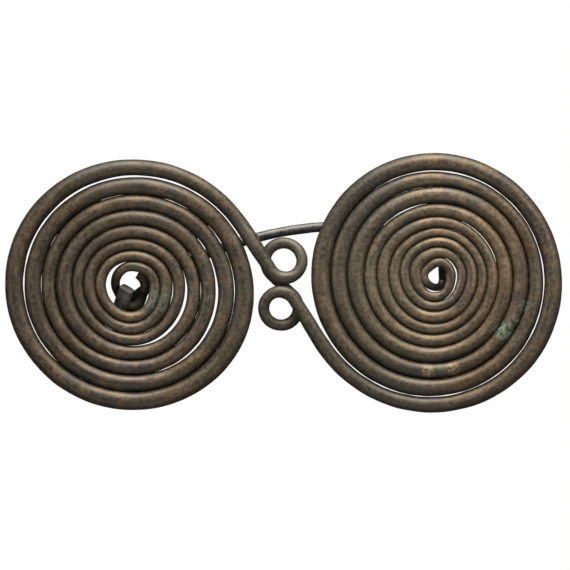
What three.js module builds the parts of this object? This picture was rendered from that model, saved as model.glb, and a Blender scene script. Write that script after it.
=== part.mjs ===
// Spectacle fibula of the early Iron Age: one bronze wire from end to end.
// The wire is coiled into a flat spiral on each side, crosses between them in a figure of eight,
// and its two ends are the pin and its catch on the back: the pin leaves the middle of the right
// coil, runs behind both coils, and hooks round the ring that ends the left coil.
// Millimetres, +Z up. The brooch lies face up on its pin, with its length along X.
import * as THREE from 'three';

// ---- driving dimensions --------------------------------------------------------------------
const loopThickness = 3.7;       // wire in the figure of eight
const eyeThickness = 4.2;        // wire where it enters an eye
const strandThickness = 4.85;    // wire where it leaves a coil for the figure of eight
const pinRootThickness = 2.4;    // wire at the middle of the right coil
const pinThickness = 3.2;        // pin at the middle of its arch
const hookThickness = 3.2;       // pin where it bends round the ring
const hookTipThickness = 4.3;    // and at its beaten end
const clothGap = 5.5;            // between the pin and the backs of the coils
const crossingLift = 1.9;        // one wire lies this far in front of the coils, one behind
const touchGap = 0.1;            // between the hook and the ring that it holds

// The coils are wound by hand, so each has its own measures. The right one is described as it
// looks after half a turn about Z. Angles and places along a coil count in turns, inwards and
// counter-clockwise from +X: the coil leaves the figure of eight at `leaves`. A gap opens between
// the wire and the next turn inside it, and a lump is a place where the wire is thicker, or
// thinner where its width is less than nothing.
const thickestTurn = 0.45;
const leftCoil = {
  centre: [-48.66, 0.31], eye: { centre: [0.69, 7.28], radius: 5.5, growth: 0.8 },
  leaves: 0.089, ends: 7.28, firstRadius: 40.4,
  offset: [0.1, -0.15], oval: [0.4, -0.4],
  thickest: 6, taper: 0.42, taperEase: 0, thinnest: 3.3,
  swell: 0, swellSide: 0,
  gaps: [
    { at: 0.3, reach: 0.45, width: 0.45 },
    { at: 1.05, reach: 0.2, width: 0.1 },
    { at: 1.95, reach: 0.2, width: 0.7 },
    { at: 3.9, reach: 0.2, width: 0.8 },
    { at: 5, reach: 0.2, width: 0.1 },
  ],
  lumps: [
    { at: 0.95, reach: 0.2, width: 0.5 },
    { at: 2.5, reach: 0.6, width: -0.5 },
    { at: 3.55, reach: 0.2, width: 0.6 },
    { at: 4.6, reach: 0.5, width: -0.7 },
    { at: 5.95, reach: 0.3, width: 0.5 },
  ],
};
const rightCoil = {
  centre: [-49.32, -0.31], eye: { centre: [1.42, 7.93], radius: 5.35, growth: 0.5 },
  leaves: 0.125, ends: 8.8, firstRadius: 41.2,
  offset: [1.2, 0.55], oval: [-0.15, -0.15],
  thickest: 5.8, taper: 0.68, taperEase: 0.03, thinnest: 3.1,
  swell: 0.55, swellSide: 0.1,
  gaps: [
    { at: 0.05, reach: 0.35, width: 0.3 },
    { at: 0.45, reach: 0.25, width: 0.3 },
    { at: 0.72, reach: 0.18, width: 0.3 },
    { at: 2.83, reach: 0.1, width: 0.3 },
    { at: 3.6, reach: 0.1, width: 0.25 },
    { at: 7.48, reach: 0.25, width: 0.37 },
  ],
  lumps: [
    { at: 1, reach: 0.2, width: 0.3 },
    { at: 1.6, reach: 0.25, width: -0.7 },
    { at: 2.8, reach: 0.6, width: 0.9 },
    { at: 3.5, reach: 0.45, width: 0.7 },
    { at: 5.6, reach: 0.2, width: -0.15 },
    { at: 6.3, reach: 0.6, width: 0.5 },
    { at: 7.9, reach: 0.3, width: 0.9 },
  ],
};
const discPlane = pinThickness + clothGap + leftCoil.thickest / 2;

// The ring at the back of the left coil is the catch. It bulges where the hook holds it, and
// its end is beaten broader.
const ring = {
  centre: [-49.48, 0.73], radius: 4.5, thickness: 2.8, joins: 7.28, ends: 8.18,
  bulges: [
    { at: 7.75, reach: 0.18, outwards: 2.2, thicker: 0.9 },
    { at: 8.14, reach: 0.3, outwards: 0.55, thicker: 1.1 },
  ],
};
const ringLevel = hookThickness + touchGap + ring.thickness / 2;

// Where the wire goes from the middle of the right coil, seen from the front: place and heading
// (degrees from +X) of each point, and the number of sections up to it. It turns a last tight
// half circle, drops to the back as it does so, runs behind both coils and meets the ring.
const pinRoute = [
  { place: [45.4, 1.0], heading: 269, sections: 4 },
  { place: [49.5, -3.1], heading: 0, sections: 5 },
  { place: [51.5, -0.2], heading: 89, sections: 5 },
  { place: [51.5, 3.9], heading: 91, sections: 2 },
  { place: [44.4, 13.6], heading: 165, sections: 6 },
  { place: [-12.6, 14.1], heading: 194, sections: 16 },
  { place: [-50.9, -4.2], heading: 216, sections: 10 },
];
const rootLength = 10;           // over which the wire thins from the coil to the pin's root
const dropStart = 5.6;           // along the route from the end of the coil
const dropLength = 8.5;
const hookTurn = 150;            // degrees that the hook bends up and back
const hookHeading = 246;         // away from its tip, seen from the front
const hookReach = 6.1;           // straight end of the hook

// ---- how finely the wire is faceted ----------------------------------------------------------
const gridPerTurn = 144;         // steps in which a coil is worked out
const outerStep = 4;             // grid steps from one section to the next in the outer turns
const innerStep = 6;             // and in the others
const outerTurns = 3;
const sides = 8;
const flatToFlat = 0.962;        // width of the eight-sided section against the round wire

const TURN = 2 * Math.PI;
const rad = THREE.MathUtils.degToRad;
const mix = THREE.MathUtils.lerp;
const ease = (x) => (1 - Math.cos(Math.PI * THREE.MathUtils.clamp(x, 0, 1))) / 2;

// ---- a flat coil -----------------------------------------------------------------------------
function widthAt(places, turn) {
  const share = ({ at, reach }) => 1 - ease(Math.abs(turn - at) / reach);
  return places.reduce((sum, place) => sum + place.width * share(place), 0);
}

function coilThickness(coil, turn) {
  const past = turn - thickestTurn;
  const swell = coil.swell * (1 + Math.cos(TURN * (turn - coil.swellSide))) / 2;
  const swollen = swell * ease(turn - coil.leaves);
  if (past < 0) {
    const along = (turn - coil.leaves) / (thickestTurn - coil.leaves);
    return mix(strandThickness, coil.thickest, ease(along)) + swollen;
  }
  const tapered = coil.thickest - coil.taper * past + coil.taperEase * past * past;
  return Math.max(coil.thinnest, tapered + swollen) + widthAt(coil.lumps, turn);
}

// Centre line radii of a coil, one for each grid step. The first turn has a shape of its own, and
// every later turn lies against the turn outside it.
function coilRadii(coil) {
  const steps = Math.round((coil.ends - coil.leaves) * gridPerTurn);
  const pitch = (turn) => (coilThickness(coil, turn) + coilThickness(coil, turn + 1)) / 2
    + widthAt(coil.gaps, turn);
  const climb = pitch(coil.leaves);
  const radii = [];
  for (let i = 0; i <= steps; i++) {
    const turn = coil.leaves + i / gridPerTurn;
    const angle = TURN * turn;
    if (i < gridPerTurn) {
      radii.push(coil.firstRadius - climb * (turn - coil.leaves)
        + coil.offset[0] * Math.cos(angle) + coil.offset[1] * Math.sin(angle)
        + coil.oval[0] * Math.cos(2 * angle) + coil.oval[1] * Math.sin(2 * angle));
    } else {
      radii.push(radii[i - gridPerTurn] - pitch(turn - 1));
    }
  }
  return radii;
}

// A station is a place on the centre line of the wire and the wire's thickness there.
const station = (x, y, z, thickness) => ({ point: new THREE.Vector3(x, y, z), thickness });

// The stations of a coil from its outer end inwards.
function coilStations(coil) {
  const radii = coilRadii(coil);
  const stations = [];
  let i = 0;
  while (i < radii.length) {
    const turn = coil.leaves + i / gridPerTurn;
    const x = coil.centre[0] + radii[i] * Math.cos(TURN * turn);
    const y = coil.centre[1] + radii[i] * Math.sin(TURN * turn);
    stations.push({ ...station(x, y, discPlane, coilThickness(coil, turn)), turn });
    i += turn < outerTurns ? outerStep : innerStep;
  }
  return stations;
}

// ---- smooth runs between two places ------------------------------------------------------------
const direction = (degrees) => new THREE.Vector3(Math.cos(rad(degrees)), Math.sin(rad(degrees)), 0);

// A curve that leaves one place and reaches the other in the given directions.
function run(from, fromDirection, to, toDirection, fullness = 0.35) {
  const reach = from.distanceTo(to) * fullness;
  return new THREE.CubicBezierCurve3(from, from.clone().addScaledVector(fromDirection, reach),
    to.clone().addScaledVector(toDirection, -reach), to);
}

// ---- one side: coil, strand and eye of the figure of eight --------------------------------------
const strandHeading = -58;       // the strand comes down to its eye in this direction
const eyeStep = 15;              // degrees from one section of an eye to the next
const strandSteps = 5;

// The strand that crosses behind both eyes touches the inner side of each.
function crossingHeading(coil, otherCoil) {
  const across = [-otherCoil.eye.centre[0] - coil.eye.centre[0],
    -otherCoil.eye.centre[1] - coil.eye.centre[1]];
  const radii = coil.eye.radius + coil.eye.growth + otherCoil.eye.radius + otherCoil.eye.growth;
  const lean = Math.asin(radii / Math.hypot(...across));
  return THREE.MathUtils.radToDeg(Math.atan2(across[1], across[0]) + lean);
}

function sideStations(coil, otherCoil) {
  const coiled = coilStations(coil);
  const outerEnd = coiled[0].point;
  const leaving = outerEnd.clone().sub(coiled[1].point).normalize();
  const eyeStart = strandHeading - 90 + 360;
  const eyeEnd = crossingHeading(coil, otherCoil) - 90 + 720;
  const eyeAt = (angle, z) => new THREE.Vector3(...coil.eye.centre, z)
    .addScaledVector(direction(angle), coil.eye.radius + coil.eye.growth * ease((angle - 400) / 130));

  const strand = run(outerEnd, leaving, eyeAt(eyeStart, discPlane), direction(strandHeading));
  const strandStations = [];
  for (let i = 1; i < strandSteps; i++) {
    const along = i / strandSteps;
    const { x, y } = strand.getPoint(along);
    const z = discPlane + crossingLift * ease(along * 1.5);
    strandStations.push(station(x, y, z, mix(strandThickness, eyeThickness, along ** 3)));
  }

  const eyeStations = [];
  const eyeSteps = Math.round((eyeEnd - eyeStart) / eyeStep);
  for (let i = 0; i <= eyeSteps; i++) {
    const angle = mix(eyeStart, eyeEnd, i / eyeSteps);
    const sinking = ease((angle - 270) / 225);
    const { x, y, z } = eyeAt(angle, discPlane + crossingLift * (1 - 2 * sinking));
    eyeStations.push(station(x, y, z, mix(eyeThickness, loopThickness, ease((angle - 240) / 90))));
  }
  return { coiled, outward: [...strandStations, ...eyeStations] };
}

const halfTurn = ({ point, thickness }) => station(-point.x, -point.y, point.z, thickness);

// ---- the catch: the left coil's inner end, turned down to a ring at the back -------------------
const ringStep = 18;             // degrees from one section of the ring to the next
const ringFall = 0.3;            // turns over which the wire falls from the coil to the ring

function catchStations(lastOfCoil) {
  const stations = [];
  const start = lastOfCoil.turn + ringStep / 360;
  const coilRadius = Math.hypot(lastOfCoil.point.x - leftCoil.centre[0],
    lastOfCoil.point.y - leftCoil.centre[1]);
  for (let turn = start; turn <= ring.ends; turn += ringStep / 360) {
    const angle = TURN * turn;
    const settled = ease((turn - ring.joins) / ringFall);
    let radius = mix(coilRadius, ring.radius, settled);
    let thickness = mix(lastOfCoil.thickness, ring.thickness, settled);
    for (const { at, reach, outwards, thicker } of ring.bulges) {
      const bulging = 1 - ease(Math.abs(turn - at) / reach);
      radius += outwards * bulging;
      thickness += thicker * bulging;
    }
    const x = mix(leftCoil.centre[0], ring.centre[0], settled) + radius * Math.cos(angle);
    const y = mix(leftCoil.centre[1], ring.centre[1], settled) + radius * Math.sin(angle);
    stations.push(station(x, y, mix(discPlane, ringLevel, settled), thickness));
  }
  return stations;
}

// ---- the pin: drop from the right coil, arch, and hook round the catch --------------------------
const restingHeight = (thickness) => thickness * flatToFlat / 2;   // its flat underside is at 0

function pinStations(coilEnd, coilEndDirection, coilEndThickness) {
  // Seen from the front: from the end of the coil, along the route.
  const path = [];
  let from = coilEnd.clone().setZ(0);
  let heading = coilEndDirection.clone().setZ(0).normalize();
  for (const { place, heading: nextHeading, sections } of pinRoute) {
    const to = new THREE.Vector3(...place, 0);
    const span = run(from, heading, to, direction(nextHeading), 0.37);
    for (let i = 1; i <= sections; i++) path.push(span.getPoint(i / sections));
    from = to;
    heading = direction(nextHeading);
  }

  // Its height and thickness follow from how far along it each point is.
  let before = coilEnd.clone().setZ(0);
  let length = 0;
  const lengths = path.map((point) => {
    length += point.distanceTo(before);
    before = point;
    return length;
  });
  const stations = path.map((point, i) => {
    const along = lengths[i] / length;
    const thinning = ease(1 - lengths[i] / rootLength) * (coilEndThickness - pinRootThickness);
    const thickness = along < 0.5
      ? mix(pinRootThickness, pinThickness, ease(along * 2)) + thinning
      : mix(pinThickness, hookThickness, ease(along * 2 - 1));
    const dropped = ease((lengths[i] - dropStart) / dropLength);
    return station(point.x, point.y, mix(discPlane, restingHeight(thickness), dropped), thickness);
  });

  // The hook bends up round the ring's wire, and leans back over it to one side.
  const hookSections = 8;
  const hookRadius = (ring.thickness + hookThickness) / 2 + touchGap;
  const outwards = direction(pinRoute.at(-1).heading);
  const backwards = direction(hookHeading + 180);
  const hookPoint = (out, back, up, thickness) => {
    const { x, y } = path.at(-1).clone().addScaledVector(outwards, out).addScaledVector(backwards, back);
    return station(x, y, restingHeight(hookThickness) + up, thickness);
  };
  for (let i = 1; i <= hookSections; i++) {
    const bent = rad(hookTurn * i / hookSections);
    const out = hookRadius * Math.sin(Math.min(bent, Math.PI / 2));
    const back = bent > Math.PI / 2 ? hookRadius * (1 - Math.sin(bent)) : 0;
    const thickness = mix(hookThickness, hookTipThickness, ease(2 * i / hookSections - 1));
    stations.push(hookPoint(out, back, hookRadius * (1 - Math.cos(bent)), thickness));
  }
  const bent = rad(hookTurn);
  const back = hookRadius * (1 - Math.sin(bent)) - hookReach * Math.cos(bent);
  stations.push(hookPoint(hookRadius, back,
    hookRadius * (1 - Math.cos(bent)) + hookReach * Math.sin(bent), hookTipThickness));
  return stations;
}

// ---- the wire as one closed solid ----------------------------------------------------------------
// An eight-sided section stands at every station, with one flat underneath, and neighbouring
// sections are joined by triangles. Both ends are capped.
function wireGeometry(stations) {
  const up = new THREE.Vector3(0, 0, 1);
  const positions = [];
  const indices = [];
  const cornerRadius = flatToFlat / 2 / Math.cos(Math.PI / sides);
  let sideways = null;
  stations.forEach(({ point, thickness }, i) => {
    const before = stations[Math.max(i - 1, 0)].point;
    const after = stations[Math.min(i + 1, stations.length - 1)].point;
    const along = after.clone().sub(before).normalize();
    const level = up.clone().cross(along).normalize();
    if (sideways && level.dot(sideways) < 0) level.negate();
    sideways = level;
    const upright = along.clone().cross(sideways);
    for (let k = 0; k < sides; k++) {
      const angle = (k + 0.5) * TURN / sides;
      const corner = point.clone()
        .addScaledVector(sideways, thickness * cornerRadius * Math.cos(angle))
        .addScaledVector(upright, thickness * cornerRadius * Math.sin(angle));
      positions.push(...corner.toArray());
    }
  });
  const corner = (i, k) => i * sides + k % sides;
  const last = stations.length - 1;
  for (let i = 0; i < last; i++) {
    for (let k = 0; k < sides; k++) {
      indices.push(corner(i, k), corner(i, k + 1), corner(i + 1, k + 1));
      indices.push(corner(i, k), corner(i + 1, k + 1), corner(i + 1, k));
    }
  }
  for (let k = 1; k < sides - 1; k++) {
    indices.push(corner(0, 0), corner(0, k + 1), corner(0, k));
    indices.push(corner(last, 0), corner(last, k), corner(last, k + 1));
  }
  const geometry = new THREE.BufferGeometry();
  geometry.setAttribute('position', new THREE.Float32BufferAttribute(positions, 3));
  geometry.setIndex(indices);
  return geometry;
}

const left = sideStations(leftCoil, rightCoil);
const right = sideStations(rightCoil, leftCoil);
const rightInward = [...right.outward.reverse(), ...right.coiled].map(halfTurn);
const innerEnd = rightInward.at(-1);
const stations = [
  ...catchStations(left.coiled.at(-1)).reverse(),
  ...left.coiled.slice().reverse(),
  ...left.outward,
  ...rightInward,
  ...pinStations(innerEnd.point, innerEnd.point.clone().sub(rightInward.at(-2).point),
    innerEnd.thickness),
];

const bronze = new THREE.MeshStandardMaterial({ color: 0x5c4a38, roughness: 0.5, metalness: 0.85 });
bronze.name = 'bronze';

const wire = new THREE.Mesh(wireGeometry(stations), bronze);
wire.name = 'fibula_wire';
wire.geometry.computeBoundingBox();
const { min, max } = wire.geometry.boundingBox;
wire.position.set(-(min.x + max.x) / 2, -(min.y + max.y) / 2, -min.z);

const brooch = new THREE.Group();
brooch.add(wire);
export default brooch;
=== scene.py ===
# Spectacle fibula of the early Iron Age, lying face up on its pin: the finished look.
# Metres, +Z up, in the same frame as the solid model.
import math
import bpy
import numpy as np
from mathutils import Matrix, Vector


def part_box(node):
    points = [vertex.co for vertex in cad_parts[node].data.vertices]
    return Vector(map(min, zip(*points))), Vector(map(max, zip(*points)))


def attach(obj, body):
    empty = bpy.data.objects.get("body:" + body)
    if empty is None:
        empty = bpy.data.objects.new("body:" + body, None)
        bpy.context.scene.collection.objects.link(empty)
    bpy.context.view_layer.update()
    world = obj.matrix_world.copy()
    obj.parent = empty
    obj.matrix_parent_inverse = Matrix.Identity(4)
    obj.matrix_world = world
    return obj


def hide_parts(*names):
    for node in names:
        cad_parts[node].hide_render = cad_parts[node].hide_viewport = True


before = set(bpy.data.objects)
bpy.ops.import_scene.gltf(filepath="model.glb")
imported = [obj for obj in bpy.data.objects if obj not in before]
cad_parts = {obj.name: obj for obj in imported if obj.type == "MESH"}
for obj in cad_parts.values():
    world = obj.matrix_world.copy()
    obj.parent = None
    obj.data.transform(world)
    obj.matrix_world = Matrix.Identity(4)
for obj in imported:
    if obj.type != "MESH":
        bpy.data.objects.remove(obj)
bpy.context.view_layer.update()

# ---- The wire ------------------------------------------------------------------------------------
# The whole brooch is one hand-hammered bronze wire. It is coiled into a flat spiral on each side,
# crosses between them in a figure of eight, and its two ends are the pin and its catch on the
# back. Sizes are in millimetres, angles along a coil in turns, as the smith winds it inwards.

loop_thickness = 3.7      # wire in the figure of eight
eye_thickness = 4.2       # wire where it enters an eye
strand_thickness = 4.85   # wire where it leaves a coil for the figure of eight
pin_root_thickness = 2.4  # wire at the middle of the right coil
pin_thickness = 3.2       # pin at the middle of its arch
hook_thickness = 3.2      # pin where it bends round the ring
hook_tip_thickness = 4.3  # and at its beaten end
cloth_gap = 5.5           # between the pin and the backs of the coils
crossing_lift = 1.9       # one wire lies this far in front of the coils, one behind
touch_gap = 0.1           # aimed for between hook and ring, which still meet at its bulge
thickest_turn = 0.45
steps_per_turn = 180

# Gaps open between a turn and the next one inside it, and lumps make the wire thicker, or thinner
# where their width is less than nothing: each has its place, its reach along the coil, its width.
left_coil = dict(
    centre=(-48.66, 0.31), eye=dict(centre=(0.69, 7.28), radius=5.5, growth=0.8),
    leaves=0.089, ends=7.28, first_radius=40.4,
    offset=(0.1, -0.15), oval=(0.4, -0.4),
    thickest=6, taper=0.42, taper_ease=0, thinnest=3.3,
    swell=0, swell_side=0,
    gaps=((0.3, 0.45, 0.45), (1.05, 0.2, 0.1), (1.95, 0.2, 0.7), (3.9, 0.2, 0.8), (5, 0.2, 0.1)),
    lumps=((0.95, 0.2, 0.5), (2.5, 0.6, -0.5), (3.55, 0.2, 0.6), (4.6, 0.5, -0.7),
           (5.95, 0.3, 0.5)),
)
# The right coil is described as it looks after half a turn about Z.
right_coil = dict(
    centre=(-49.32, -0.31), eye=dict(centre=(1.42, 7.93), radius=5.35, growth=0.5),
    leaves=0.125, ends=8.8, first_radius=41.2,
    offset=(1.2, 0.55), oval=(-0.15, -0.15),
    thickest=5.8, taper=0.68, taper_ease=0.03, thinnest=3.1,
    swell=0.55, swell_side=0.1,
    gaps=((0.05, 0.35, 0.3), (0.45, 0.25, 0.3), (0.72, 0.18, 0.3), (2.83, 0.1, 0.3),
          (3.6, 0.1, 0.25), (7.48, 0.25, 0.37)),
    lumps=((1, 0.2, 0.3), (1.6, 0.25, -0.7), (2.8, 0.6, 0.9), (3.5, 0.45, 0.7),
           (5.6, 0.2, -0.15), (6.3, 0.6, 0.5), (7.9, 0.3, 0.9)),
)
disc_plane = pin_thickness + cloth_gap + left_coil["thickest"] / 2

# The ring at the back of the left coil is the catch. It bulges where the hook holds it.
ring = dict(centre=(-49.48, 0.73), radius=4.5, thickness=2.8, joins=7.28, ends=8.18,
            bulges=((7.75, 0.18, 2.2, 0.9), (8.14, 0.3, 0.55, 1.1)))
ring_level = hook_thickness + touch_gap + ring["thickness"] / 2
ring_fall = 0.3

# Place and heading of the wire from the middle of the right coil to the ring.
pin_route = (((45.4, 1.0), 269, 20), ((49.5, -3.1), 0, 20), ((51.5, -0.2), 89, 16),
             ((51.5, 3.9), 91, 8), ((44.4, 13.6), 165, 24), ((-12.6, 14.1), 194, 60),
             ((-50.9, -4.2), 216, 50))
root_length = 10
drop_start = 5.6
drop_length = 8.5
hook_turn = 150
hook_heading = 246
hook_reach = 6.1
strand_heading = -58


def mix(a, b, share):
    return a + (b - a) * share


def ease(x):
    return (1 - math.cos(math.pi * min(max(x, 0), 1))) / 2


def width_at(places, turn):
    return sum(width * (1 - ease(abs(turn - at) / reach)) for at, reach, width in places)


def coil_thickness(coil, turn):
    past = turn - thickest_turn
    swell = coil["swell"] * (1 + math.cos(math.tau * (turn - coil["swell_side"]))) / 2
    swollen = swell * ease(turn - coil["leaves"])
    if past < 0:
        along = (turn - coil["leaves"]) / (thickest_turn - coil["leaves"])
        return mix(strand_thickness, coil["thickest"], ease(along)) + swollen
    tapered = coil["thickest"] - coil["taper"] * past + coil["taper_ease"] * past * past
    return max(coil["thinnest"], tapered + swollen) + width_at(coil["lumps"], turn)


def coil_stations(coil):
    """(x, y, z, thickness, turn) along a coil from its outer end inwards. After the first turn
    each turn lies against the turn outside it."""
    def pitch(turn):
        pair = (coil_thickness(coil, turn) + coil_thickness(coil, turn + 1)) / 2
        return pair + width_at(coil["gaps"], turn)
    climb = pitch(coil["leaves"])
    radii = []
    stations = []
    for i in range(round((coil["ends"] - coil["leaves"]) * steps_per_turn) + 1):
        turn = coil["leaves"] + i / steps_per_turn
        angle = math.tau * turn
        if i < steps_per_turn:
            radii.append(coil["first_radius"] - climb * (turn - coil["leaves"])
                         + coil["offset"][0] * math.cos(angle) + coil["offset"][1] * math.sin(angle)
                         + coil["oval"][0] * math.cos(2 * angle) + coil["oval"][1] * math.sin(2 * angle))
        else:
            radii.append(radii[i - steps_per_turn] - pitch(turn - 1))
        stations.append((coil["centre"][0] + radii[i] * math.cos(angle),
                         coil["centre"][1] + radii[i] * math.sin(angle),
                         disc_plane, coil_thickness(coil, turn), turn))
    return stations


def heading(degrees):
    return Vector((math.cos(math.radians(degrees)), math.sin(math.radians(degrees)), 0))


def smooth_run(start, start_direction, end, end_direction, fullness):
    """A point at a share of the way along a curve that leaves and arrives in given directions."""
    reach = (end - start).length * fullness
    a, b = start + start_direction * reach, end - end_direction * reach

    def point(t):
        return (start * (1 - t) ** 3 + a * 3 * t * (1 - t) ** 2 + b * 3 * t * t * (1 - t)
                + end * t ** 3)
    return point


def crossing_heading(coil, other):
    (ax, ay), (bx, by) = coil["eye"]["centre"], other["eye"]["centre"]
    radii = sum(eye["radius"] + eye["growth"] for eye in (coil["eye"], other["eye"]))
    lean = math.asin(radii / math.hypot(ax + bx, ay + by))
    return math.degrees(math.atan2(-by - ay, -bx - ax) + lean)


def figure_stations(coil, other, coiled):
    """The strand from a coil's outer end and the eye that it runs into."""
    outer_end = Vector(coiled[0][:3])
    leaving = (outer_end - Vector(coiled[1][:3])).normalized()
    eye_start = strand_heading - 90 + 360
    eye_end = crossing_heading(coil, other) - 90 + 720
    eye = coil["eye"]

    def eye_at(angle, z):
        radius = eye["radius"] + eye["growth"] * ease((angle - 400) / 130)
        return Vector((*eye["centre"], z)) + heading(angle) * radius
    strand = smooth_run(outer_end, leaving, eye_at(eye_start, disc_plane),
                        heading(strand_heading), 0.35)
    stations = []
    for i in range(1, 30):
        point = strand(i / 30)
        z = disc_plane + crossing_lift * ease(i / 20)
        stations.append((point.x, point.y, z, mix(strand_thickness, eye_thickness, (i / 30) ** 3)))
    eye_steps = round((eye_end - eye_start) / 5)
    for i in range(eye_steps + 1):
        angle = mix(eye_start, eye_end, i / eye_steps)
        point = eye_at(angle, disc_plane + crossing_lift * (1 - 2 * ease((angle - 270) / 225)))
        stations.append((*point, mix(eye_thickness, loop_thickness, ease((angle - 240) / 90))))
    return stations


def catch_stations(last):
    stations = []
    coil_radius = math.hypot(last[0] - left_coil["centre"][0], last[1] - left_coil["centre"][1])
    turn = last[4] + 1 / 72
    while turn <= ring["ends"]:
        settled = ease((turn - ring["joins"]) / ring_fall)
        radius = mix(coil_radius, ring["radius"], settled)
        thickness = mix(last[3], ring["thickness"], settled)
        for at, reach, outwards, thicker in ring["bulges"]:
            bulging = 1 - ease(abs(turn - at) / reach)
            radius += outwards * bulging
            thickness += thicker * bulging
        x = mix(left_coil["centre"][0], ring["centre"][0], settled)
        y = mix(left_coil["centre"][1], ring["centre"][1], settled)
        stations.append((x + radius * math.cos(math.tau * turn),
                         y + radius * math.sin(math.tau * turn),
                         mix(disc_plane, ring_level, settled), thickness))
        turn += 1 / 72
    return stations


def pin_stations(last, before_last):
    """The drop to the back, the arch behind both coils, and the hook round the ring."""
    start, direction = Vector((last[0], last[1], 0)), Vector((last[0] - before_last[0],
                                                              last[1] - before_last[1], 0)).normalized()
    path = []
    here = start
    for place, toward, sections in pin_route:
        there = Vector((*place, 0))
        span = smooth_run(here, direction, there, heading(toward), 0.37)
        path += [span(i / sections) for i in range(1, sections + 1)]
        here, direction = there, heading(toward)
    lengths = []
    for before, point in zip([start] + path, path):
        lengths.append((lengths[-1] if lengths else 0) + (point - before).length)
    stations = []
    for point, length in zip(path, lengths):
        along = length / lengths[-1]
        if along < 0.5:
            thickness = mix(pin_root_thickness, pin_thickness, ease(along * 2))
            thickness += ease(1 - length / root_length) * (last[3] - pin_root_thickness)
        else:
            thickness = mix(pin_thickness, hook_thickness, ease(along * 2 - 1))
        dropped = ease((length - drop_start) / drop_length)
        stations.append((point.x, point.y, mix(disc_plane, thickness / 2, dropped), thickness))
    hook_radius = (ring["thickness"] + hook_thickness) / 2 + touch_gap
    outwards, backwards = heading(pin_route[-1][1]), heading(hook_heading + 180)

    def hook_point(out, back, up, thickness):
        point = path[-1] + outwards * out + backwards * back
        return (point.x, point.y, hook_thickness / 2 + up, thickness)
    bends = 30
    for i in range(1, bends + 1):
        bent = math.radians(hook_turn * i / bends)
        stations.append(hook_point(hook_radius * math.sin(min(bent, math.pi / 2)),
                                   hook_radius * (1 - math.sin(bent)) if bent > math.pi / 2 else 0,
                                   hook_radius * (1 - math.cos(bent)),
                                   mix(hook_thickness, hook_tip_thickness, ease(2 * i / bends - 1))))
    bent = math.radians(hook_turn)
    for i in range(1, 9):
        reach = hook_reach * i / 8
        stations.append(hook_point(hook_radius,
                                   hook_radius * (1 - math.sin(bent)) - reach * math.cos(bent),
                                   hook_radius * (1 - math.cos(bent)) + reach * math.sin(bent),
                                   hook_tip_thickness))
    return stations


def half_turn(stations):
    return [(-x, -y, z, *rest) for x, y, z, *rest in stations]


# The runs of the wire, in order from the catch to the pin's hook.
left_coiled = coil_stations(left_coil)
right_coiled = coil_stations(right_coil)
parts_of_wire = [
    ("catch", catch_stations(left_coiled[-1])[::-1]),
    ("left coil", left_coiled[::-1]),
    ("left eye", figure_stations(left_coil, right_coil, left_coiled)),
    ("right eye", half_turn(figure_stations(right_coil, left_coil, right_coiled)[::-1])),
    ("right coil", half_turn(right_coiled)),
]
inner = parts_of_wire[-1][1]
parts_of_wire.append(("pin", pin_stations((*inner[-1][:2], 0, inner[-1][3]), inner[-2])))
# How the metal looks along the wire: how much its crowns are rubbed bright, how grey-green it
# stays, how steel-grey it is, and how much bare metal shines through.
rubbed = {"catch": 0.25, "left coil": 1.0, "left eye": 0.35, "right eye": 0.35, "right coil": 1.0,
          "pin": 0.1}
greened = {"catch": 0.5, "left coil": 0.15, "left eye": 0.9, "right eye": 0.9, "right coil": 0.2,
           "pin": 0.2}
steely = {"catch": 0.1, "left coil": 0.0, "left eye": 0.15, "right eye": 0.15, "right coil": 0.0,
          "pin": 0.9}
polished = {"catch": 0.35, "left coil": 0.4, "left eye": 0.4, "right eye": 0.4, "right coil": 0.4,
            "pin": 0.8}
stations = [station[:4] for _, run in parts_of_wire for station in run]
owners = [name for name, run in parts_of_wire for _ in run]
places = np.array(stations)
steps = np.linalg.norm(np.diff(places[:, :3], axis=0), axis=1)
lengths = np.concatenate([[0], np.cumsum(steps)])

fade_steps = 30           # over which one look or level of the wire passes into the next


def smoothed(values):
    window = np.ones(2 * fade_steps + 1) / (2 * fade_steps + 1)
    return np.convolve(np.pad(values, fade_steps, mode="edge"), window, mode="valid")


# Hammering leaves the wire a little uneven, and its turns not quite level.
uneven = (1 + 0.006 * np.sin(lengths / 3.1) + 0.005 * np.sin(lengths / 1.7 + 2)
          + 0.006 * np.sin(lengths / 7.3 + 1))
unlevel = 0.14 * np.sin(lengths / 31) + 0.08 * np.sin(lengths / 11 + 1)
in_coil = np.array([owner.endswith("coil") for owner in owners], float)
in_coil = smoothed(in_coil)
places[:, 2] += unlevel * in_coil
# Where no gap lies beside it, each turn is pressed against the next.
press_thickening = 0.036
open_gap = 0.15           # a gap this wide keeps turns from being pressed
gap_beside = {"left coil": left_coil["gaps"], "right coil": right_coil["gaps"]}
turns = [station[4] if len(station) > 4 else 0 for _, run in parts_of_wire for station in run]
pressed = np.array([1 - ease(max(width_at(gap_beside[owner], turn),
                                 width_at(gap_beside[owner], turn - 1)) / open_gap)
                    if owner in gap_beside else 0 for owner, turn in zip(owners, turns)])
uneven += press_thickening * pressed * in_coil

# The smith's route as a curve with a round bevel, thick and thin along it.
bpy.ops.object.select_all(action="DESELECT")
bpy.ops.curve.primitive_bezier_curve_add()
wire = bpy.context.object
wire.name = "coiled_wire"
route = wire.data
route.splines.clear()
spline = route.splines.new("POLY")
spline.points.add(len(stations) - 1)
low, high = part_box("fibula_wire")
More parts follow.
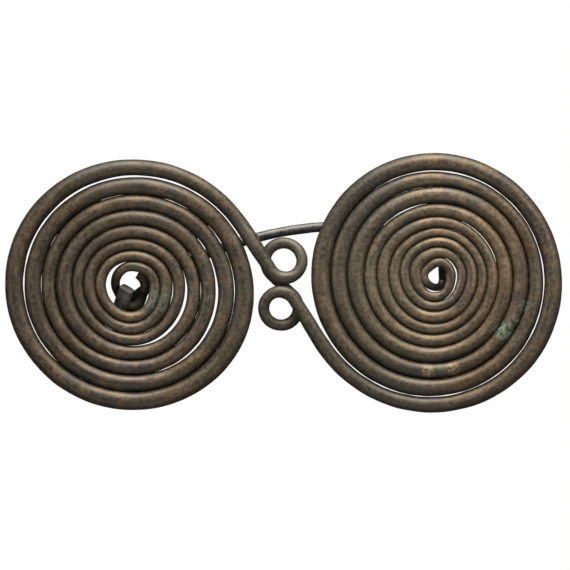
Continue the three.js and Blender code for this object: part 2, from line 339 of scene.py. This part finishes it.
# The solid model is centred on its box, so the route is moved the same way.
outline = places[:, :2]
half_thickness = places[:, 3:4] / 2
lowest, highest = (outline - half_thickness).min(0), (outline + half_thickness).max(0)
shift = [(low[k] + high[k]) * 500 - (lowest[k] + highest[k]) / 2 for k in (0, 1)]
for point, (x, y, z, thickness), scale in zip(spline.points, places, uneven):
    point.co = ((x + shift[0]) / 1000, (y + shift[1]) / 1000, z / 1000, 1)
    point.radius = thickness / 2 * scale
route.dimensions = "3D"
route.twist_mode = "MINIMUM"
route.bevel_depth = 0.001
route.bevel_resolution = 10
bpy.ops.object.convert(target="MESH")
wire = bpy.context.object
sides = len(wire.data.vertices) // len(stations)

# The pin's hooked end is beaten to a flat bar, whose section is a square with rounded corners.
hook_stations = 38
beating_before = 40       # stations before the hook over which the flattening begins
beating_steps = 50
squareness = 5
bar_width, bar_height = 1.02, 0.8
points = np.zeros(len(wire.data.vertices) * 3)
wire.data.vertices.foreach_get("co", points)
points = points.reshape(len(stations), sides, 3)
centres = points.mean(1)
along = np.gradient(centres, axis=0)
along /= np.linalg.norm(along, axis=1, keepdims=True)
beaten_from = len(stations) - hook_stations - beating_before
across_hook = np.cross((0, 0, 1), np.array(heading(pin_route[-1][1])))
for i in range(beaten_from, len(stations)):
    beaten = ease((i - beaten_from) / beating_steps)
    sideways = across_hook.copy()
    sideways -= along[i] * sideways.dot(along[i])
    sideways /= np.linalg.norm(sideways)
    upright = np.cross(along[i], sideways)
    across, up = (points[i] - centres[i]) @ sideways, (points[i] - centres[i]) @ upright
    size = np.hypot(across, up)
    corner = (np.abs(across / size) ** squareness + np.abs(up / size) ** squareness) ** (-1 / squareness)
    across = across * mix(1, corner * bar_width, beaten)
    up = up * mix(1, corner * bar_height, beaten)
    points[i] = centres[i] + across[:, None] * sideways + up[:, None] * upright
wire.data.vertices.foreach_set("co", points.ravel())

# What the metal's finish needs to know: its place in the straight wire as it was drawn, and how
# it has aged there.
angles = np.arange(sides) / sides * math.tau
radii = places[:, 3] / 2000
drawn = np.zeros((len(stations), sides, 3))
drawn[..., 0] = lengths[:, None] / 1000
drawn[..., 1] = radii[:, None] * np.cos(angles)
drawn[..., 2] = radii[:, None] * np.sin(angles)
attribute = wire.data.attributes.new("drawn", "FLOAT_VECTOR", "POINT")
attribute.data.foreach_set("vector", drawn.ravel())
# The first of the pin still looks like the right coil, and its tip is dulled like the catch.
root_kept, root_fade = 12, 8
tip_length, tip_fade = 22, 10
down_the_pin = lengths - lengths[owners.index("pin")]
root = np.array([1 - ease((length - root_kept) / root_fade) if owner == "pin" else 0
                 for owner, length in zip(owners, down_the_pin)])
tip = np.array([ease((length - down_the_pin[-1] + tip_length) / tip_fade) if owner == "pin" else 0
                for owner, length in zip(owners, down_the_pin)])
for name, table in (("rubbed", rubbed), ("greened", greened), ("steely", steely),
                    ("polished", polished)):
    value = np.array([table[owner] for owner in owners])
    value += (table["right coil"] - value) * root
    if name == "polished":
        value += (table["catch"] - value) * tip
    attribute = wire.data.attributes.new(name, "FLOAT", "POINT")
    attribute.data.foreach_set("value", np.repeat(smoothed(value), sides))
attribute = wire.data.attributes.new("coiled", "FLOAT", "POINT")
attribute.data.foreach_set("value", np.repeat(in_coil, sides))

# Both ends are cut off square and closed.
bpy.ops.object.mode_set(mode="EDIT")
bpy.ops.mesh.select_mode(type="EDGE")
bpy.ops.mesh.select_all(action="DESELECT")
bpy.ops.mesh.select_non_manifold()
bpy.ops.mesh.edge_face_add()
bpy.ops.mesh.select_all(action="SELECT")
bpy.ops.mesh.normals_make_consistent(inside=False)
bpy.ops.object.mode_set(mode="OBJECT")

# Shallow dents of the hammer.
dents = bpy.data.textures.new("hammer_dents", "CLOUDS")
dents.noise_scale = 0.006
dents.noise_depth = 2
hammering = wire.modifiers.new("hammering", "DISPLACE")
hammering.texture = dents
hammering.texture_coords = "LOCAL"
hammering.strength = 0.00022
hammering.mid_level = 0.5
bpy.ops.object.modifier_apply(modifier="hammering")
bpy.ops.object.shade_smooth_by_angle(angle=math.radians(50))

bronze = bpy.data.materials.new("patinated_bronze")
bronze.use_nodes = True
tree = bronze.node_tree
tree.nodes.clear()


def node(kind, **values):
    made = tree.nodes.new(kind)
    for name, value in values.items():
        setattr(made, name, value)
    return made


def link(source, target):
    tree.links.new(source, target)


def calculate(operation, a, b):
    made = node("ShaderNodeMath", operation=operation)
    made.use_clamp = operation in ("ADD", "MULTIPLY", "SUBTRACT")
    for socket, value in zip(made.inputs, (a, b)):
        if isinstance(value, (int, float)):
            socket.default_value = value
        else:
            link(value, socket)
    return made.outputs[0]


def between(value, low, high, start=0.0, end=1.0):
    made = node("ShaderNodeMapRange", interpolation_type="SMOOTHSTEP")
    made.inputs["From Min"].default_value = low
    made.inputs["From Max"].default_value = high
    made.inputs["To Min"].default_value = start
    made.inputs["To Max"].default_value = end
    link(value, made.inputs["Value"])
    return made.outputs[0]


def blend(share, under, over, blend_type="MIX"):
    made = node("ShaderNodeMix", data_type="RGBA", blend_type=blend_type)
    for socket, value in zip((made.inputs[0], made.inputs[6], made.inputs[7]), (share, under, over)):
        if isinstance(value, tuple):
            socket.default_value = (*value, 1)
        elif isinstance(value, (int, float)):
            socket.default_value = value
        else:
            link(value, socket)
    return made.outputs[2]


def grain(vector, scale, detail=3.0, roughness=0.55, stretch=None):
    if stretch:
        mapping = node("ShaderNodeMapping")
        mapping.inputs["Scale"].default_value = stretch
        link(vector, mapping.inputs["Vector"])
        vector = mapping.outputs[0]
    made = node("ShaderNodeTexNoise")
    made.inputs["Scale"].default_value = scale
    made.inputs["Detail"].default_value = detail
    made.inputs["Roughness"].default_value = roughness
    link(vector, made.inputs["Vector"])
    return made.outputs[0]


def aged(name):
    made = node("ShaderNodeAttribute", attribute_name=name)
    return made.outputs["Fac"]


def spot(centre, radius, soft):
    """1 within a ball of the given radius round a place, falling to 0 over a soft edge."""
    away = node("ShaderNodeVectorMath", operation="DISTANCE")
    link(position, away.inputs[0])
    away.inputs[1].default_value = centre
    return between(away.outputs["Value"], radius, radius + soft, 1.0, 0.0)


coordinates = node("ShaderNodeTexCoord")
position = coordinates.outputs["Object"]
straight = node("ShaderNodeAttribute", attribute_name="drawn").outputs["Vector"]
split = node("ShaderNodeSeparateXYZ")
link(coordinates.outputs["Normal"], split.inputs[0])
facing = calculate("ABSOLUTE", split.outputs["Z"], 0.0)

clouds = grain(position, 48, 4, 0.6)
olive = grain(position, 78, 3, 0.6)
blotches = grain(position, 210, 5, 0.65)
mottle = grain(position, 900, 4, 0.7)
streaks = grain(straight, 900, 4, 0.6, stretch=(0.12, 1, 1))
long_streaks = grain(straight, 420, 3, 0.5, stretch=(0.06, 1, 1))
specks = grain(position, 1500, 2, 0.5)

# Brown patina: purplish grey and olive in clouds, warmer in blotches, darker in streaks.
patina = blend(between(clouds, 0.42, 0.58), (0.035, 0.030, 0.026), (0.056, 0.037, 0.018))
patina = blend(between(olive, 0.5, 0.6, 0.0, 0.7), patina, (0.040, 0.038, 0.022))
patina = blend(between(blotches, 0.48, 0.62, 0.0, 0.8), patina, (0.086, 0.052, 0.025))
patina = blend(between(long_streaks, 0.5, 0.6, 0.0, 0.7), patina, (0.021, 0.017, 0.014))
# Darker on the outer side of the left coil, olive on the inner side of the right one.
patina = blend(calculate("MULTIPLY", spot((-0.090, 0.014, 0.012), 0.018, 0.034), 0.6), patina,
               (0.022, 0.017, 0.010))
patina = blend(calculate("MULTIPLY", spot((0.014, -0.004, 0.012), 0.014, 0.03), 0.75), patina,
               (0.046, 0.041, 0.024))
# Cool grey at the top of the left coil, and above and below the inner side of the right one.
cool = calculate("MAXIMUM", spot((0.022, 0.032, 0.012), 0.008, 0.016),
              spot((0.034, -0.044, 0.012), 0.008, 0.02))
cool = calculate("MAXIMUM", cool, spot((-0.058, 0.042, 0.012), 0.006, 0.012))
cool = calculate("MULTIPLY", cool, between(blotches, 0.38, 0.56, 0.3, 1.0))
patina = blend(cool, patina, (0.038, 0.035, 0.030))
# Greenish grey where it was never rubbed.
green_share = calculate("MULTIPLY", between(blotches, 0.35, 0.7, 0.25, 1.0), aged("greened"))
patina = blend(green_share, patina, (0.046, 0.040, 0.027))
side_green = calculate("MULTIPLY", between(facing, 0.25, 0.75, 0.7, 0.0), between(clouds, 0.42, 0.6))
patina = blend(side_green, patina, (0.027, 0.026, 0.017))
# Coppery crowns, rubbed through the patina.
crown = between(facing, 0.6, 0.98)
wear = calculate("ADD", calculate("MULTIPLY", streaks, 0.6), calculate("MULTIPLY", blotches, 0.45))
worn = calculate("MULTIPLY", crown, between(wear, 0.45, 0.62))
worn = calculate("MULTIPLY", worn, aged("rubbed"))
worn = calculate("MULTIPLY", worn, between(cool, 0, 1, 1.0, 0.35))
copper = blend(between(long_streaks, 0.42, 0.6), (0.102, 0.069, 0.042), (0.064, 0.046, 0.032))
metal = blend(calculate("MULTIPLY", worn, 0.75), patina, copper)
# The pin is a colder grey.
steel_grey = blend(between(long_streaks, 0.35, 0.65), (0.042, 0.040, 0.036), (0.086, 0.083, 0.077))
metal = blend(aged("steely"), metal, steel_grey)
# Verdigris on the right coil, and a hint beside the middle of the left one.
verdigris_place = calculate("MAXIMUM", spot((0.0706, -0.0170, 0.014), 0.0018, 0.0024),
                         spot((0.0745, -0.0133, 0.013), 0.0006, 0.0018))
verdigris_place = calculate("MAXIMUM", verdigris_place,
                         calculate("MULTIPLY", spot((0.0772, -0.0095, 0.0125), 0.001, 0.002), 0.8))
verdigris_place = calculate("MAXIMUM", verdigris_place,
                         calculate("MULTIPLY", spot((-0.0408, -0.003, 0.014), 0.002, 0.004), 0.45))
verdigris = calculate("MULTIPLY", verdigris_place, between(blotches, 0.3, 0.5))
green = blend(between(mottle, 0.4, 0.6), (0.055, 0.072, 0.050), (0.115, 0.145, 0.105))
metal = blend(verdigris, metal, green)
# Bare golden patches near the bottom of the right coil, with a green one between them.
golden = calculate("MAXIMUM", spot((0.0456, -0.0292, 0.014), 0.0008, 0.0025),
                spot((0.0537, -0.0287, 0.014), 0.0008, 0.0025))
metal = blend(calculate("MULTIPLY", golden, between(mottle, 0.4, 0.6)), metal, (0.17, 0.125, 0.075))
metal = blend(calculate("MULTIPLY", spot((0.0496, -0.0285, 0.014), 0.001, 0.002), 0.7), metal,
              (0.060, 0.062, 0.045))
# Lighter towards the middle of each coil, partly brighter worn metal and partly a painted highlight on
# the inner turns, and mottled all over.
lighter_and_highlight = calculate("MAXIMUM", calculate("MULTIPLY", spot((-0.0487, 0.004, 0.012), 0.006, 0.03), 0.38),
                 spot((0.0493, 0.009, 0.012), 0.012, 0.03))
lighter_and_highlight = calculate("ADD", lighter_and_highlight, spot((-0.0515, -0.0073, 0.0125), 0.002, 0.006))
for tone in (between(lighter_and_highlight, 0, 1, 1, 1.62), between(mottle, 0.36, 0.62, 0.68, 1.32)):
    scaled = node("ShaderNodeVectorMath", operation="SCALE")
    link(metal, scaled.inputs[0])
    link(tone, scaled.inputs["Scale"])
    metal = scaled.outputs[0]
# Dark pits, and painted shade between the turns: near-black, olive towards the inner side of the right
# coil.
pits = between(specks, 0.68, 0.74, 0.0, 0.8)
metal = blend(pits, metal, (0.015, 0.012, 0.009))
# Painted shade on the flanks of the wire inside the coils, where the turns meet.
painted_crease_shade = calculate("MULTIPLY", between(facing, 0.1, 0.6, 0.9, 0.0), aged("coiled"))
crease_shade_colour = blend(calculate("MULTIPLY", spot((0.014, 0.0, 0.012), 0.012, 0.025), 0.8),
                (0.008, 0.006, 0.004), (0.032, 0.031, 0.017))
metal = blend(painted_crease_shade, metal, crease_shade_colour)

gloss = node("ShaderNodeBsdfPrincipled")
link(aged("polished"), gloss.inputs["Metallic"])
link(metal, gloss.inputs["Base Color"])
link(between(mottle, 0.35, 0.65, 0.43, 0.6), gloss.inputs["Roughness"])
relief = calculate("ADD", calculate("MULTIPLY", streaks, 0.35), calculate("MULTIPLY", mottle, 0.3))
relief = calculate("SUBTRACT", relief, calculate("MULTIPLY", pits, 0.3))
gloss.inputs["Specular Tint"].default_value = (1.0, 0.855, 0.69, 1)
bump = node("ShaderNodeBump")
bump.inputs["Strength"].default_value = 0.6
bump.inputs["Distance"].default_value = 0.00025
link(relief, bump.inputs["Height"])
link(bump.outputs[0], gloss.inputs["Normal"])
surface = node("ShaderNodeOutputMaterial")
link(gloss.outputs[0], surface.inputs["Surface"])
wire.data.materials.clear()
wire.data.materials.append(bronze)
wire.data.polygons.foreach_set("material_index", [0] * len(wire.data.polygons))

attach(wire, "root")
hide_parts("fibula_wire")

# ---- The table it lies on --------------------------------------------------------------------------
# A plain white light table, evenly bright, so that the brooch throws no shadow on it.
bpy.ops.mesh.primitive_plane_add(size=3, location=(0, 0, -0.0002))
table = bpy.context.object
table.name = "light_table"
white = bpy.data.materials.new("white_table")
white.use_nodes = True
tree = white.node_tree
tree.nodes.clear()
seen = node("ShaderNodeEmission")
seen.inputs["Color"].default_value = (1, 1, 1, 1)
seen.inputs["Strength"].default_value = 1.0
lit = node("ShaderNodeEmission")
lit.inputs["Color"].default_value = (1, 1, 1, 1)
lit.inputs["Strength"].default_value = 0.12
path = node("ShaderNodeLightPath")
choose = node("ShaderNodeMixShader")
link(path.outputs["Is Camera Ray"], choose.inputs[0])
link(lit.outputs[0], choose.inputs[1])
link(seen.outputs[0], choose.inputs[2])
surface = node("ShaderNodeOutputMaterial")
link(choose.outputs[0], surface.inputs["Surface"])
table.data.materials.append(white)

# ---- Soft studio light ----------------------------------------------------------------------------
# A broad light from beyond the brooch, a weaker one from each side, and a little from all round.
def soft_light(name, place, size, watts):
    bpy.ops.object.light_add(type="AREA", location=place)
    light = bpy.context.object
    light.name = name
    light.data.shape = "DISK"
    light.data.size = size
    light.data.energy = watts
    light.rotation_euler = (Vector((0, 0, 0)) - Vector(place)).to_track_quat("-Z", "Y").to_euler()


soft_light("far_light", (0.1, 1.0, 0.42), 0.9, 38)
soft_light("near_light", (-0.1, -0.8, 0.7), 0.6, 2.2)
soft_light("left_light", (-0.9, 0.2, 0.6), 0.6, 3.5)
soft_light("right_light", (0.9, 0.2, 0.6), 0.6, 4)
world = bpy.data.worlds.new("studio")
world.use_nodes = True
world.node_tree.nodes["Background"].inputs["Color"].default_value = (1, 1, 1, 1)
world.node_tree.nodes["Background"].inputs["Strength"].default_value = 0.14
bpy.context.scene.world = world
bpy.context.scene.view_settings.view_transform = "Standard"

# ---- Camera ---------------------------------------------------------------------------------------
# Straight above, far off with a long lens, and turned a little so that the left coil sits lower.
width_seen = 0.1842
distance = 4.0
face_height = 0.0117      # of the coils' middle plane, on which the width is seen
centre_seen = (0.00047, 0.00026)
turned = -2.08
bpy.ops.object.camera_add(location=(*centre_seen, distance + face_height),
                          rotation=(0, 0, math.radians(turned)))
camera = bpy.context.object
camera.data.sensor_width = 36
camera.data.lens = 36 * distance / width_seen
camera.data.clip_end = 100
bpy.context.scene.camera = camera
